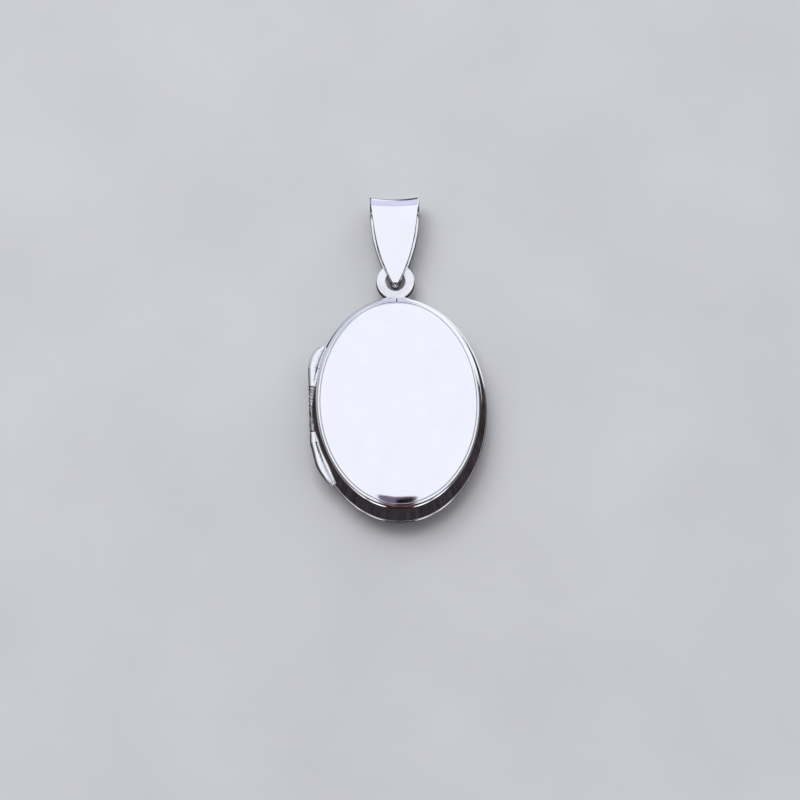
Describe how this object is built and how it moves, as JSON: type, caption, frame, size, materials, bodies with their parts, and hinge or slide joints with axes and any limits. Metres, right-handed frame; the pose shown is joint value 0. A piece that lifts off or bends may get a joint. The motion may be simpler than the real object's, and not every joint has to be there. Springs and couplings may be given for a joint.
{
  "type": "oval photo locket pendant",
  "caption": "Plain polished oval locket with hinged front and back covers, inner picture frames under clear windows, a soldered pendant ring and a tapered swinging bail.",
  "frame": {"origin": "centre of the flat land on the outside of the back cover, on the surface the locket rests on", "axes": "+Z out of the front cover, +Y toward the bail, +X to the right seen from the front, so the cover hinge is on the -X side"},
  "size_m": [0.0181, 0.0355, 0.0056],
  "materials": {
    "polished_silver": "mirror polished silver",
    "inner_silver": "bright silver with light tool marks",
    "pin_silver": "drawn silver wire",
    "clear_film": "clear glossy film"
  },
  "bodies": {
    "back": {"back_band": "polished_silver", "back_cover_plate": "polished_silver", "back_photo_seat": "inner_silver", "back_photo_window": "clear_film", "back_photo_frame": "inner_silver", "catch_rim": "inner_silver", "upper_knuckle": "polished_silver", "lower_knuckle": "polished_silver", "upper_wing": "polished_silver", "lower_wing": "polished_silver", "hinge_pin": "pin_silver", "ring_foot": "polished_silver", "pendant_ring": "polished_silver"},
    "front": {"front_band": "polished_silver", "front_cover_plate": "polished_silver", "front_photo_seat": "inner_silver", "front_photo_window": "clear_film", "front_photo_frame": "inner_silver", "middle_knuckle": "polished_silver"},
    "bail": {"bail": "polished_silver"}
  },
  "joints": [
    {"name": "cover_hinge", "type": "hinge", "parent": "back", "child": "front", "pos_m": [-0.00862, 0, 0.0028], "axis": [0, -1, 0], "range_deg": [0, 125]},
    {"name": "bail_swing", "type": "hinge", "parent": "back", "child": "bail", "pos_m": [0.00015, 0.01515, 0.0021], "axis": [1, 0, 0], "range_deg": [-45, 35]}
  ]
}
